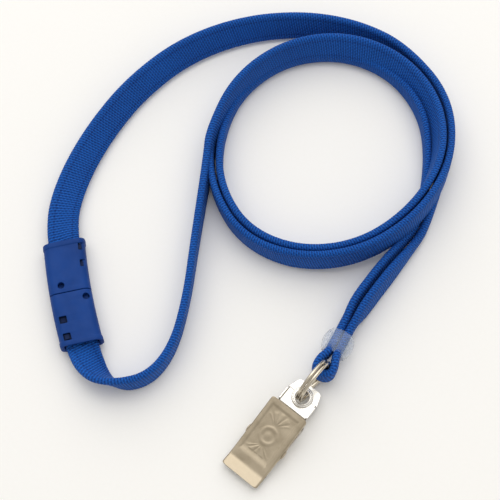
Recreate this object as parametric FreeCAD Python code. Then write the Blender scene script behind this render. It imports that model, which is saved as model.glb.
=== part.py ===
import FreeCAD, Part
import math
import os

from FreeCAD import Vector

# A neck lanyard with a breakaway clasp, a sliding bead, a split ring and a badge clip, in millimetres.
# The lanyard lies coiled on a flat surface at z = 0. The origin is on the clip's flat back face,
# straight below its hinge pin. +Y runs from the clip's jaws to its ring, and +Z is up.

os.makedirs("parts", exist_ok=True)
UP = Vector(0, 0, 1)

# Strap: one flat tubular woven tape. It stands on its edge except next to the clasp.
STRAP_WIDTH = 9.5
STRAP_THICK = 2.2
LEG_SPACING = 2.3
JOIN_GAP = 0.3

# Coil of the strap: a ring of turns between two ellipses.
COIL_INNER_CENTRE = Vector(-44.0, 82.0, 0)
COIL_INNER_RADII = (31.0, 33.8)
COIL_OUTER_CENTRE = Vector(-43.3, 84.3, 0)
COIL_OUTER_RADII = (40.5, 42.8)

# Free runs of the strap, seen from above, from the clasp or the bead to the coil.
UPPER_RUN_ROUTE = [(-86.1, 8.1), (-88.3, 10.0), (-93.9, 17.8), (-98.9, 30.2), (-102.1, 45.2)]
UPPER_RUN_ROUTE += [(-103.2, 62.5), (-99.9, 82.3), (-90.1, 100.6), (-75.7, 114.8), (-59.9, 123.2)]
UPPER_RUN_ROUTE += [(-44.0, 125.0)]
UPPER_RUN_LEAN = 50.0
LOWER_RUN_ROUTE = [(-60.0, -12.5), (-53.0, -16.2), (-43.6, -15.0), (-37.5, -7.2), (-38.1, 4.2)]
LOWER_RUN_ROUTE += [(-44.9, 18.3), (-53.6, 32.1), (-61.3, 44.7), (-69.0, 57.5), (-75.5, 71.0)]
LEG_PAIR_ROUTE = [(-3.43, 45.47), (-3.7, 48.4), (-3.9, 54.5), (-4.2, 65.0), (-4.5, 76.0)]

# Breakaway clasp: two equal halves that plug into each other at the joint.
CLASP_JOINT = Vector(-73.1, -2.2, 0)
CLASP_ANGLE = 51.5
CLASP_WIDTH = 13.0
CLASP_HEIGHT = 6.8
CLASP_CORNER = 2.6
HALF_LENGTH = 16.4
JOINT_GAP = 0.1
COLLAR_LENGTH = 1.4
COLLAR_LIP = 0.25
PRONG_OFFSET = 3.3
PRONG_WIDTH = 4.2
PRONG_HEIGHT = 2.4
PRONG_LENGTH = 6.0
SOCKET_PLAY = 0.2
CATCH_RADIUS = 0.95
CATCH_HOLE_RADIUS = 1.15
CATCH_PLACE = 2.4
POCKET_START = 6.8
POCKET_WIDTH = 10.1
POCKET_FLOOR = 2.1
POCKET_TOP = 5.95
WINDOW_SIZE = 2.3
WINDOW_PLACES = (8.3, 13.7)
WINDOW_OFFSET = 3.9
GRIP_FLOOR = 4.45
GRIP_TOP = 5.85
TOOTH_SIZE = 0.5

# Bead that holds the two legs of the strap together.
BEAD_LENGTH = 7.1
BEAD_RADIUS = 4.75
BEAD_END_RADIUS = 3.9
BEAD_BORE_RADIUS = 3.0
BEAD_TURN = 11.0
BEAD_START = 4.2
BEAD_TRAVEL = 6.0
NECK_RADIUS = 2.7

# Bight: the end of the loop, which goes round the split ring.
BIGHT_CENTRE = Vector(0, 27.8, 0)
BIGHT_HOLE_RADIUS = 1.75
BIGHT_THICK = 1.6
BIGHT_FLOOR = 3.9
BIGHT_TOP = 9.1
NECK_START = 3.7

# Split ring: two turns of wire side by side, standing on its rim.
RING_CENTRE = Vector(0, 21.6, 7.25)
RING_MEAN_RADIUS = 6.7
RING_WIRE = 1.1

# Clip: a back plate with a tab, and a sprung lever.
SHEET = 0.5
CLIP_WIDTH = 12.5
JAW_Y = -12.4
JAW_LINE_Y = -8.9
JAW_LINE_Z = 1.8
JAW_TIP_RISE = 0.5
JAW_GAP = 0.05
BACK_WIDTH = 12.1
BACK_END_Y = 9.9
TAB_FLOOR = 2.3
TAB_START_Y = 12.3
TAB_END_Y = 20.9
TAB_WIDTH = 10.4
TAB_END_WIDTH = 7.8
TAB_HOLE_Y = 16.8
TAB_HOLE_RADIUS = 2.1
RIM_RADIUS = 3.2
RIM_HEIGHT = 0.3
FLANGE_HEIGHT = 1.2
PIN_Z = 3.0
PIN_RADIUS = 0.8
PIN_HEAD_RADIUS = 1.3
PIN_HEAD_LENGTH = 0.4
PIN_PLAY = 0.06
BACK_EAR_RADIUS = 1.35
LEVER_EAR_RADIUS = 1.8
EAR_PLAY = 0.1
LEVER_END_Y = 10.5
LEVER_END_Z = 8.3
LEVER_SKIRT = 1.2
SPRING_INNER_RADIUS = 0.92
SPRING_OUTER_RADIUS = 1.42
SPRING_LENGTH = 6.4
SPRING_WIRE_RADIUS = 0.2


def save(name, shape):
    """Write one piece, and say how large it is."""
    shape.exportStep("parts/" + name + ".step")
    box = shape.BoundBox
    size = "%.1f x %.1f x %.1f" % (box.XLength, box.YLength, box.ZLength)
    print("%-18s valid %s  solids %d  %s mm" % (name, shape.isValid(), len(shape.Solids), size))


def box(low, high):
    """Block between two opposite corners."""
    size = [b - a for a, b in zip(low, high)]
    return Part.makeBox(*size, Vector(*low))


def cylinder_x(radius, x0, x1, y, z):
    """Cylinder along X."""
    return Part.makeCylinder(radius, x1 - x0, Vector(x0, y, z), Vector(1, 0, 0))


def rod(radius, start, end):
    """Round rod between two points."""
    return Part.makeCylinder(radius, (end - start).Length, start, end - start)


def corner_arc(before, corner, after, trim):
    """Arc that rounds a corner, starting and ending a length of trim away from it."""
    into = (before - corner).normalize()
    out = (after - corner).normalize()
    half_turn = (math.pi - into.getAngle(out)) / 2
    radius = trim / math.tan(half_turn)
    middle = (into + out).normalize()
    bulge = radius / math.cos(half_turn) - radius
    return Part.Arc(corner + into * trim, corner + middle * bulge, corner + out * trim), radius


def rounded_outline(points, radius):
    """Closed flat outline of straight sides whose corners have one radius."""
    edges = []
    arcs = []
    for i, corner in enumerate(points):
        before = points[i - 1]
        after = points[(i + 1) % len(points)]
        turn = math.pi - (before - corner).getAngle(after - corner)
        arcs.append(corner_arc(before, corner, after, radius * math.tan(turn / 2))[0])
    for i, arc in enumerate(arcs):
        following = arcs[(i + 1) % len(arcs)]
        edges.append(arc.toShape())
        edges.append(Part.makeLine(arc.EndPoint, following.StartPoint))
    return Part.Wire(edges)


def extruded(outline, along):
    """Solid swept straight from a closed outline."""
    return Part.Face(outline).extrude(along)


def route_wire(name, route, height):
    """Path of straight runs joined by the largest tangent arcs that the runs allow."""
    points = [Vector(x, y, height) for x, y in route]
    edges = []
    radii = []
    start = points[0]
    for before, corner, after in zip(points, points[1:], points[2:]):
        trim = 0.45 * min((corner - before).Length, (after - corner).Length)
        arc, radius = corner_arc(before, corner, after, trim)
        edges.append(Part.LineSegment(start, arc.StartPoint).toShape())
        edges.append(arc.toShape())
        radii.append(round(radius, 1))
        start = arc.EndPoint
    edges.append(Part.LineSegment(start, points[-1]).toShape())
    print(name, "bend radii", radii)
    return Part.Wire(edges)


def strap_tube(name, route, lean):
    """Length of strap along a route, leaning outwards from upright by an angle in degrees."""
    tilt = math.radians(lean)
    tall = STRAP_WIDTH * math.cos(tilt) + STRAP_THICK * math.sin(tilt)
    path = route_wire(name, route, tall / 2)
    first = path.Vertexes[0].Point
    along = path.Edges[0].tangentAt(path.Edges[0].FirstParameter)
    side = UP.cross(along).normalize()
    upright = UP * math.cos(tilt) + side * math.sin(tilt)
    across = side * math.cos(tilt) - UP * math.sin(tilt)
    half_up = upright * (STRAP_WIDTH / 2)
    half_across = across * (STRAP_THICK / 2)
    corners = [half_up + half_across, half_up - half_across]
    corners += [corner * -1 for corner in corners]
    section = Part.makePolygon([first + corner for corner in corners + corners[:1]])
    sweep = Part.BRepOffsetAPI.MakePipeShell(path)
    sweep.setBiNormalMode(UP)
    sweep.add(section)
    sweep.build()
    sweep.makeSolid()
    tube = sweep.shape()
    share = tube.Volume / (STRAP_WIDTH * STRAP_THICK * path.Length)
    print(name, "length %.1f mm, volume over section times length %.4f" % (path.Length, share))
    return tube


def ellipse_face(centre, radii):
    """Flat face of an ellipse whose longer axis lies along Y."""
    longer = centre + Vector(0, radii[1], 0)
    shorter = centre + Vector(radii[0], 0, 0)
    return Part.Face(Part.Wire(Part.Ellipse(longer, shorter, centre).toShape()))


def strap_coil():
    """The coil's turns as one ring."""
    outer = ellipse_face(COIL_OUTER_CENTRE, COIL_OUTER_RADII)
    inner = ellipse_face(COIL_INNER_CENTRE, COIL_INNER_RADII)
    return outer.cut(inner).Faces[0].extrude(UP * STRAP_WIDTH)


def leg_route(side):
    """Route of one of the two legs, half a spacing to one side of the pair's middle."""
    return [(x + side * LEG_SPACING / 2, y) for x, y in LEG_PAIR_ROUTE]


def along_bead(shape):
    """Turn a shape made along +Y from the origin into the bead's line."""
    shape.rotate(Vector(0, 0, 0), UP, BEAD_TURN)
    shape.translate(BIGHT_CENTRE)
    return shape


def strap_neck():
    """The two legs squeezed into half rounds, over the length that the bead can reach."""
    middle_z = BEAD_RADIUS
    length = BEAD_START + BEAD_TRAVEL + BEAD_LENGTH + JOIN_GAP - NECK_START
    round_bar = Part.makeCylinder(NECK_RADIUS, length, Vector(0, NECK_START, middle_z), Vector(0, 1, 0))
    slit = box((-0.05, NECK_START, 0), (0.05, NECK_START + length, 2 * middle_z))
    return along_bead(round_bar.cut(slit))


def strap_bight():
    """Eye of strap round the ring's wire."""
    height = BIGHT_TOP - BIGHT_FLOOR
    radius = BIGHT_HOLE_RADIUS + BIGHT_THICK
    eye = Part.makeCylinder(radius, height, Vector(0, 0, BIGHT_FLOOR))
    throat = box((-NECK_RADIUS, 0, BIGHT_FLOOR), (NECK_RADIUS, NECK_START, BIGHT_TOP))
    hole = Part.makeCylinder(BIGHT_HOLE_RADIUS, height, Vector(0, 0, BIGHT_FLOOR))
    return along_bead(eye.fuse(throat).removeSplitter().cut(hole))


def bead():
    """Barrel bead with a straight bore."""
    start = BEAD_START
    end = BEAD_START + BEAD_LENGTH
    middle = (start + end) / 2
    lip = (BEAD_BORE_RADIUS + BEAD_END_RADIUS) / 2
    bore_start = Vector(BEAD_BORE_RADIUS, start + 0.4, 0)
    bore_end = Vector(BEAD_BORE_RADIUS, end - 0.4, 0)
    side_start = Vector(BEAD_END_RADIUS, start + 0.4, 0)
    side_end = Vector(BEAD_END_RADIUS, end - 0.4, 0)
    edges = [
        Part.makeLine(bore_end, bore_start),
        Part.Arc(bore_start, Vector(lip, start, 0), side_start).toShape(),
        Part.Arc(side_start, Vector(BEAD_RADIUS, middle, 0), side_end).toShape(),
        Part.Arc(side_end, Vector(lip, end, 0), bore_end).toShape(),
    ]
    barrel = Part.Face(Part.Wire(edges)).revolve(Vector(0, 0, 0), Vector(0, 1, 0), 360)
    barrel.translate(UP * BEAD_RADIUS)
    return along_bead(barrel)


def split_ring():
    """Two turns of wire side by side, as one band with round edges."""
    wire = RING_WIRE / 2
    at = RING_CENTRE + Vector(0, RING_MEAN_RADIUS, 0)
    low = at - Vector(0, wire, 0)
    high = at + Vector(0, wire, 0)
    side = Vector(wire, 0, 0)
    edges = [
        Part.makeLine(low - side, low + side),
        Part.Arc(low + side, at + side * 2, high + side).toShape(),
        Part.makeLine(high + side, high - side),
        Part.Arc(high - side, at - side * 2, low - side).toShape(),
    ]
    return Part.Face(Part.Wire(edges)).revolve(RING_CENTRE, Vector(1, 0, 0), 360)


def bent_sheet(line, width):
    """Sheet metal of one width whose lower face follows a line of (y, z) points."""
    lower = [Vector(-width / 2, y, z) for y, z in line]
    upper = [point + UP * SHEET for point in reversed(lower)]
    outline = Part.makePolygon(lower + upper + lower[:1])
    return extruded(outline, Vector(width, 0, 0))


def mirrored_pair(shape):
    """A shape and its mirror image across the clip's middle."""
    return [shape, shape.mirror(Vector(0, 0, 0), Vector(1, 0, 0))]


def clip_back():
    """Back plate: lower jaw, ears for the pin, and the tab with its rimmed hole."""
    lip_floor = JAW_LINE_Z - SHEET
    line = [(JAW_Y, lip_floor - JAW_TIP_RISE), (JAW_LINE_Y, lip_floor), (JAW_LINE_Y + 1.6, 0)]
    line += [(BACK_END_Y, 0), (TAB_START_Y, TAB_FLOOR), (TAB_END_Y, TAB_FLOOR)]
    half = BACK_WIDTH / 2
    right = [(half, JAW_Y), (half, BACK_END_Y), (TAB_WIDTH / 2, BACK_END_Y + 1.6)]
    right += [(TAB_WIDTH / 2, TAB_HOLE_Y + 0.3), (TAB_END_WIDTH / 2, TAB_END_Y)]
    corners = [Vector(x, y, -1) for x, y in right] + [Vector(-x, y, -1) for x, y in reversed(right)]
    plan = extruded(rounded_outline(corners, 0.7), UP * 8)
    plate = bent_sheet(line, BACK_WIDTH).common(plan)

    outer = CLIP_WIDTH / 2 - SHEET - EAR_PLAY
    tip = BACK_EAR_RADIUS
    ear_corners = [(-2.2, 0.2), (2.2, 0.2), (tip, PIN_Z + tip), (-tip, PIN_Z + tip)]
    ear_line = rounded_outline([Vector(outer - SHEET, y, z) for y, z in ear_corners], 0.9 * tip)
    pieces = mirrored_pair(extruded(ear_line, Vector(SHEET, 0, 0)))
    tab_top = TAB_FLOOR + SHEET
    edge = TAB_WIDTH / 2
    flange = box((edge - SHEET, TAB_START_Y, tab_top - 0.2), (edge, TAB_HOLE_Y, tab_top + FLANGE_HEIGHT))
    pieces += mirrored_pair(flange)
    rim_base = Vector(0, TAB_HOLE_Y, tab_top - 0.2)
    pieces.append(Part.makeCylinder(RIM_RADIUS, RIM_HEIGHT + 0.2, rim_base))
    plate = plate.fuse(pieces).removeSplitter()
    hole = Part.makeCylinder(TAB_HOLE_RADIUS, 5, Vector(0, TAB_HOLE_Y, 0))
    pin_hole = cylinder_x(PIN_RADIUS + PIN_PLAY, -CLIP_WIDTH, CLIP_WIDTH, 0, PIN_Z)
    return plate.cut([hole, pin_hole])


def clip_lever():
    """Lever: front plate with upper jaw, skirts along its sides and ears for the pin."""
    lip = JAW_LINE_Z + JAW_GAP
    line = [(JAW_Y, lip + JAW_TIP_RISE), (JAW_LINE_Y, lip), (LEVER_END_Y, LEVER_END_Z - SHEET)]
    plate = bent_sheet(line, CLIP_WIDTH)
    outer = CLIP_WIDTH / 2
    slope = (LEVER_END_Z - SHEET - lip) / (LEVER_END_Y - JAW_LINE_Y)
    skirt_start = JAW_LINE_Y + 1.6
    skirt_z = lip + slope * 1.6
    skirt = [(skirt_start, skirt_z + 0.2), (skirt_start + LEVER_SKIRT, skirt_z - LEVER_SKIRT + 0.4)]
    skirt += [(LEVER_END_Y - 0.6, LEVER_END_Z - SHEET - LEVER_SKIRT), (LEVER_END_Y - 0.1, LEVER_END_Z - 0.3)]
    skirt_line = Part.makePolygon([Vector(outer - SHEET, y, z) for y, z in skirt + skirt[:1]])
    ear = [(-3.2, 4.0), (-1.6, PIN_Z - LEVER_EAR_RADIUS), (1.6, PIN_Z - LEVER_EAR_RADIUS), (3.6, 5.0)]
    ear_line = rounded_outline([Vector(outer - SHEET, y, z) for y, z in ear], 0.3)
    pieces = mirrored_pair(extruded(skirt_line, Vector(SHEET, 0, 0)))
    pieces += mirrored_pair(extruded(ear_line, Vector(SHEET, 0, 0)))
    lever = plate.fuse(pieces).removeSplitter()
    pin_hole = cylinder_x(PIN_RADIUS + PIN_PLAY, -CLIP_WIDTH, CLIP_WIDTH, 0, PIN_Z)
    return lever.cut(pin_hole)


def clip_pin():
    """Hinge pin with a head at each end."""
    half = CLIP_WIDTH / 2 + EAR_PLAY
    shaft = cylinder_x(PIN_RADIUS, -half, half, 0, PIN_Z)
    heads = mirrored_pair(cylinder_x(PIN_HEAD_RADIUS, half, half + PIN_HEAD_LENGTH, 0, PIN_Z))
    return shaft.fuse(heads).removeSplitter()


def clip_spring():
    """Torsion spring round the pin: its coil as a sleeve, and its two legs."""
    half = SPRING_LENGTH / 2
    sleeve = cylinder_x(SPRING_OUTER_RADIUS, -half, half, 0, PIN_Z)
    sleeve = sleeve.cut(cylinder_x(SPRING_INNER_RADIUS, -half, half, 0, PIN_Z))
    leg_x = half - 2 * SPRING_WIRE_RADIUS
    wrap = (SPRING_INNER_RADIUS + SPRING_OUTER_RADIUS) / 2
    lower = rod(SPRING_WIRE_RADIUS, Vector(-leg_x, 0, PIN_Z - wrap), Vector(-leg_x, 7.5, SHEET + 0.25))
    upper = rod(SPRING_WIRE_RADIUS, Vector(leg_x, 0, PIN_Z + wrap), Vector(leg_x, 6.5, 6.25))
    return sleeve.fuse([lower, upper]).removeSplitter()


def clasp_place(shape, lower):
    """Put a piece made for the upper half where it belongs, turned round for the lower half."""
    if lower:
        shape.rotate(Vector(0, 0, 0), UP, 180)
    shape.rotate(Vector(0, 0, 0), UP, CLASP_ANGLE)
    shape.translate(CLASP_JOINT)
    return shape


def clasp_section(width, height, y0, y1):
    """Length of rounded tube section, lying along Y."""
    middle = CLASP_HEIGHT / 2
    corners = [(-width / 2, middle - height / 2), (width / 2, middle - height / 2)]
    corners += [(width / 2, middle + height / 2), (-width / 2, middle + height / 2)]
    outline = rounded_outline([Vector(x, y0, z) for x, z in corners], CLASP_CORNER)
    return extruded(outline, Vector(0, y1 - y0, 0))


def clasp_half(lower):
    """One half: shell, prong on one side, socket on the other, strap pocket and windows."""
    middle = CLASP_HEIGHT / 2
    shell_end = HALF_LENGTH - COLLAR_LENGTH
    slim = 2 * COLLAR_LIP
    shell = clasp_section(CLASP_WIDTH - slim, CLASP_HEIGHT - slim, JOINT_GAP, shell_end)
    collar = clasp_section(CLASP_WIDTH, CLASP_HEIGHT, shell_end, HALF_LENGTH)
    tall = PRONG_HEIGHT / 2
    wide = PRONG_WIDTH / 2
    prong = box((PRONG_OFFSET - wide, -PRONG_LENGTH, middle - tall), (PRONG_OFFSET + wide, 1, middle + tall))
    catch_base = Vector(PRONG_OFFSET, -CATCH_PLACE, middle)
    catch = Part.makeCylinder(CATCH_RADIUS, tall + SOCKET_PLAY * 0.6, catch_base)
    half = shell.fuse([collar, prong, catch]).removeSplitter()
    wide += SOCKET_PLAY
    tall += SOCKET_PLAY
    deep = PRONG_LENGTH + SOCKET_PLAY
    socket = box((-PRONG_OFFSET - wide, 0, middle - tall), (-PRONG_OFFSET + wide, deep, middle + tall))
    top = Vector(-PRONG_OFFSET, CATCH_PLACE, middle)
    catch_hole = Part.makeCylinder(CATCH_HOLE_RADIUS, CLASP_HEIGHT, top)
    side = POCKET_WIDTH / 2
    pocket = box((-side, POCKET_START, POCKET_FLOOR), (side, HALF_LENGTH + 1, POCKET_TOP))
    cuts = [socket, catch_hole, pocket]
    for place in WINDOW_PLACES:
        cuts.append(window_block(place, WINDOW_SIZE, POCKET_TOP - 0.2, CLASP_HEIGHT + 1))
    return clasp_place(half.cut(cuts), lower)


def window_block(place, size, floor, top):
    """Square block through one of the windows in the clasp's top wall."""
    reach = size / 2
    low = (WINDOW_OFFSET - reach, place - reach, floor)
    return box(low, (WINDOW_OFFSET + reach, place + reach, top))


def strap_grip(lower):
    """Toothed wedge that holds the strap's end, with a lug in each window."""
    side = POCKET_WIDTH / 2 - 0.15
    start = POCKET_START + 0.15
    end = HALF_LENGTH - COLLAR_LENGTH
    plate = box((-side, start, GRIP_FLOOR + TOOTH_SIZE), (side, end, GRIP_TOP))
    pieces = []
    teeth = int((end - start) / (2 * TOOTH_SIZE))
    for i in range(teeth):
        y = start + 2 * TOOTH_SIZE * i + 0.1
        points = [Vector(-side, y, GRIP_FLOOR + TOOTH_SIZE + 0.05), Vector(-side, y + TOOTH_SIZE, GRIP_FLOOR)]
        points.append(Vector(-side, y + 1.6 * TOOTH_SIZE, GRIP_FLOOR + TOOTH_SIZE + 0.05))
        pieces.append(extruded(Part.makePolygon(points + points[:1]), Vector(2 * side, 0, 0)))
    for place in WINDOW_PLACES:
        pieces.append(window_block(place, WINDOW_SIZE - 0.3, GRIP_TOP - 0.2, CLASP_HEIGHT - 0.5))
    return clasp_place(plate.fuse(pieces).removeSplitter(), lower)


def strap_end(lower):
    """End of the strap, flat in the clasp's pocket under the grip."""
    floor = POCKET_FLOOR + 0.08
    side = STRAP_WIDTH / 2
    tape = box((-side, POCKET_START + 0.2, floor), (side, HALF_LENGTH, floor + STRAP_THICK))
    return clasp_place(tape, lower)


def main():
    coil = strap_coil()
    save("strap_coil", coil)
    save("strap_upper_run", strap_tube("upper run", UPPER_RUN_ROUTE, UPPER_RUN_LEAN).cut(coil))
    save("strap_lower_run", strap_tube("lower run", LOWER_RUN_ROUTE, 0).cut(coil))
    save("strap_leg_right", strap_tube("right leg", leg_route(1), 0).cut(coil))
    save("strap_leg_left", strap_tube("left leg", leg_route(-1), 0).cut(coil))
    save("strap_neck", strap_neck())
    save("strap_bight", strap_bight())
    for lower, word in ((False, "upper"), (True, "lower")):
        save("clasp_half_" + word, clasp_half(lower))
        save("strap_grip_" + word, strap_grip(lower))
        save("strap_end_" + word, strap_end(lower))
    save("bead", bead())
    save("split_ring", split_ring())
    save("clip_back", clip_back())
    save("clip_lever", clip_lever())
    save("clip_pin", clip_pin())
    save("clip_spring", clip_spring())


main()
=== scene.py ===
import math

import bmesh
import bpy
import numpy as np
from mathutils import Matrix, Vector


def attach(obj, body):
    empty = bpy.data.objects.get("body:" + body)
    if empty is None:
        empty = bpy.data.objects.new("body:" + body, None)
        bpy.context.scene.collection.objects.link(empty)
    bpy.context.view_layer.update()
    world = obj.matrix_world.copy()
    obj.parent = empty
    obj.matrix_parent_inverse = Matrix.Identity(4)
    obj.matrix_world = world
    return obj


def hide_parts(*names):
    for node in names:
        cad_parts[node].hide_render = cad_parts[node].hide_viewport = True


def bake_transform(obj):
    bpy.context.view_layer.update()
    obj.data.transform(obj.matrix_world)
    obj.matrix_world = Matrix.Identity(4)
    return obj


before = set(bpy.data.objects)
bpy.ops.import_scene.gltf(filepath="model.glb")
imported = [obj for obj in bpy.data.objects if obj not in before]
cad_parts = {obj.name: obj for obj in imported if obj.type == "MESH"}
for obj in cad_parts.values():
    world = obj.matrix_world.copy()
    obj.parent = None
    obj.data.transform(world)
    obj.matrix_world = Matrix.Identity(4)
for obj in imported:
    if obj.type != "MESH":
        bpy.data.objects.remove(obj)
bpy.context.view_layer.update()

# A neck lanyard with a breakaway clasp, a sliding bead, a split ring and a badge clip. Routes and
# shapes below are in millimetres, in the frame of the CAD model, and MM turns them into metres.
MM = 0.001

# Camera: it looks down at the lanyard from beyond the clip.
VIEW_TARGET = (-41.3, 43.7, 0.0)
VIEW_AZIMUTH = 39.0
VIEW_ELEVATION = 69.0
VIEW_DISTANCE = 380.0
SENSOR = 36.0
MM_ACROSS_VIEW = 153.2
CLIP_NEAR_M = 0.01
CLIP_FAR_M = 10.0

# Studio. Lights: (name, degrees round from the camera, elevation, distance, size, watts), in metres.
FLOOR_SIZE = 12000.0
FLOOR_CELLS = 8
WORLD_COLOUR = (1.0, 0.975, 0.93, 1)
WORLD_STRENGTH = 0.61
LIGHTS = [
    ("back light", 183, 52, 1.4, 2.4, 16.5),
    ("top light", 180, 74, 1.1, 0.45, 1.0),
]

# Strap: a woven tube pressed flat. Where it is narrower than its full width it bunches up, and it is
# a full oval where it is narrower by BUNCH_RANGE.
STRAP_WIDTH = 9.5
STRAP_THICK = 2.2
BUNCH_RANGE = 4.0
BUNCH_SWELL = 0.2
STEP_ALONG = 0.2
FACE_STEPS = 9
EDGE_STEPS = 6
FACE_CROWN = 0.10
# Ribs across the strap, in the mesh and in the material, and threads along it, in the material.
RIB_HEIGHT = 0.02
RIB_PITCH = 0.8
THREAD_PITCH = 1.1
# Ribs lose this share of their height where the strap is bunched, and they also widen the strap
# past this share of its width.
RIB_FADE = 0.4
EDGE_SHARE = 0.42
# Grooves along the strap, which the material darkens with painted shade: they are SEAM_PLACE
# from its edges. The map round the section starts SEAM_SHIFT past an edge, and HALF_GIRTH is half
# the way round.
HALF_GIRTH = 10.76
SEAM_SHIFT = 1.73
SEAM_PLACE = 2.6
# Distance along the right strand at which its first length ends and the long one starts.
SPLIT_PLACE = 110.0
# Every how many samples a point of a strap's path is taken.
PATH_STEP = 5

# Coil: the innermost strand stands on this ellipse. Strands go round it clockwise in steps.
COIL_CENTRE = (-44.0, 82.0)
COIL_RADII = (31.4, 34.2)
COIL_STEP = 30.0
# A smooth line cuts inside its control points, and at this step it keeps this share of the radius.
LINE_INSIDE = 0.966

# Free ends of the two strands, right and left: (x, y, height of the middle, lean in degrees, width).
# The lean is that of the upper edge to the left of the strand's way, which is outwards on the coil.
RIGHT_START = [
    (-85.6, 8.7, 3.3, 88, 9.5),
    (-88.3, 10.9, 3.4, 84, 9.5),
    (-93.9, 17.8, 3.6, 68, 9.5),
    (-98.9, 30.2, 3.9, 58, 9.5),
    (-102.1, 45.2, 4.1, 50, 9.5),
    (-103.2, 62.5, 4.3, 44, 9.5),
    (-99.9, 82.3, 4.56, 38, 9.5),
    (-90.1, 100.6, 4.74, 32, 9.5),
    (-75.7, 114.8, 4.86, 26, 9.5),
    (-59.9, 123.2, 4.94, 18, 9.5),
]
LEFT_START = [
    (-59.7, -11.9, 3.3, -88, 9.5),
    (-53.0, -16.2, 4.0, -58, 9.5),
    (-43.6, -15.0, 4.8, 0, 9.5),
    (-37.5, -7.2, 4.85, 2, 9.5),
    (-38.1, 4.2, 4.8, 0, 9.5),
    (-44.9, 18.3, 4.8, 0, 9.5),
    (-53.6, 32.1, 4.85, 2, 9.5),
    (-61.3, 44.7, 4.9, 4, 9.5),
    (-69.0, 57.5, 5.3, 8, 9.5),
]

# Turns of the coil: (offset from the ellipse, height of the middle, lean, width), one row for
# each step, from the place where the strand joins the coil.
RIGHT_FIRST_ANGLE = 90.0
RIGHT_TURNS = [
    (8.6, 4.9, 3, 9.5),
    (8.7, 5.2, 3, 9.5),
    (7.2, 7.4, 0, 9.5),
    (5.7, 9.3, -8, 9.5),
    (4.9, 8.3, -8, 9.5),
    (3.6, 5.3, -6, 9.5),
    (3.3, 4.88, 4, 9.5),
    (1.7, 4.78, 4, 9.3),
    (1.8, 3.6, 0, 7.0),
    (3.2, 2.5, 0, 4.8),
    (4.2, 2.4, 0, 4.6),
    (4.6, 2.4, 0, 4.6),
    (5.2, 2.3, 0, 4.4),
    (5.4, 2.3, 0, 4.4),
    (5.6, 2.3, 0, 4.4),
    (7.8, 2.3, 0, 4.4),
]
LEFT_FIRST_ANGLE = 210.0
LEFT_TURNS = [
    (0.9, 6.4, 12, 9.5),
    (1.5, 7.4, 12, 9.5),
    (2.2, 7.5, 15, 9.5),
    (2.7, 7.2, 26, 9.5),
    (3.2, 6.7, 33, 9.5),
    (3.9, 6.6, 27, 9.5),
    (3.8, 8.4, 12, 9.5),
    (2.5, 9.0, 0, 9.5),
    (1.8, 7.0, 0, 9.5),
    (0.9, 5.1, 0, 9.5),
    (0.8, 4.8, 0, 9.5),
    (-0.7, 4.8, 0, 9.5),
    (-1.3, 4.2, 0, 8.4),
    (0.4, 2.8, 0, 5.4),
    (1.3, 2.7, 0, 5.2),
    (1.4, 2.7, 0, 5.2),
    (1.2, 3.0, 0, 5.8),
    (0.9, 4.2, 0, 8.4),
    (0.7, 3.4, 0, 6.4),
    (5.4, 2.3, 0, 4.4),
]

# The pair of legs from the coil to the bead, and half the distance between them.
LEG_PAIR = [
    (-4.4, 75.0, 2.8, -6, 5.2),
    (-4.2, 65.0, 4.3, -12, 8.4),
    (-3.9, 54.5, 4.75, -10, 9.2),
    (-3.5, 47.6, 4.8, -12, 8.3),
]
LEG_HALF_SPACING = 1.6

# Bead: it stands where the CAD bead does, with a slightly wider bore for the ribs of the strap.
BIGHT_CENTRE = (0.0, 27.8)
BEAD_TURN = 11.0
BEAD_START = 4.2
BEAD_LENGTH = 7.1
BEAD_RADIUS = 4.75
BEAD_BORE_RADIUS = 3.15
BEAD_MOUTH_RADII = (3.4, 3.6)
# Strap in the bead: (distance from the bight's middle, width), and half the distance of the strands.
BEAD_STRANDS = ((14.9, 5.3), (11.2, 5.1), (7.7, 5.2))
STRAND_OFFSET = 1.27
# Strap round the ring's wire, down to the lowest point: (across, along, height, width).
BIGHT_PLACES = [
    (1.26, 5.2, 4.8, 5.5),
    (1.4, 3.4, 5.6, 7.2),
    (2.45, 0.7, 6.1, 8.2),
    (2.5, -2.4, 6.2, 8.2),
    (0.0, -3.5, 6.2, 8.2),
]

# Split ring: two turns of wire, RING_SIDE to each side of the middle.
RING_CENTRE = (0.0, 21.6, 7.25)
RING_RADIUS = 6.7
RING_WIRE = 1.08
RING_SIDE = 0.57
RING_END_ANGLE = 8
RING_STEPS = 200

# Clasp: two halves made along +Y from the joint, one of them turned half round. Both are bowed
# sideways by CLASP_BOW times the square of the distance from the joint.
CLASP_JOINT = (-73.1, -2.2)
CLASP_ANGLE = 51.5
CLASP_LENGTH = 16.4
CLASP_BOW = 0.0027
CLASP_MIDDLE_Z = 3.4
PRONG_OFFSET = 3.3
CATCH_PLACE = 2.4
CATCH_HOLE_RADIUS = 1.05
WINDOW_OFFSET = 3.9
WINDOW_HALF = 1.15
WINDOW_PLACES = (8.3, 13.7)
LUG_TOPS = (5.6, 6.05)
# The clasp lies a little rolled, so its catch hole, windows and lugs stand this far across from
# their places in the CAD model.
UPPER_SHIFTS = (1.1, 1.6, 0.7)
LOWER_SHIFTS = (-1.2, -0.4, -0.4)
GRIP_SPAN = (6.95, 15.0)
GRIP_HALF_WIDTH = 4.9
TOOTH_PITCH = 1.0
STRAP_IN_CLASP_Z = 3.28
STRAP_IN_CLASP_LEAN = 88

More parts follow.
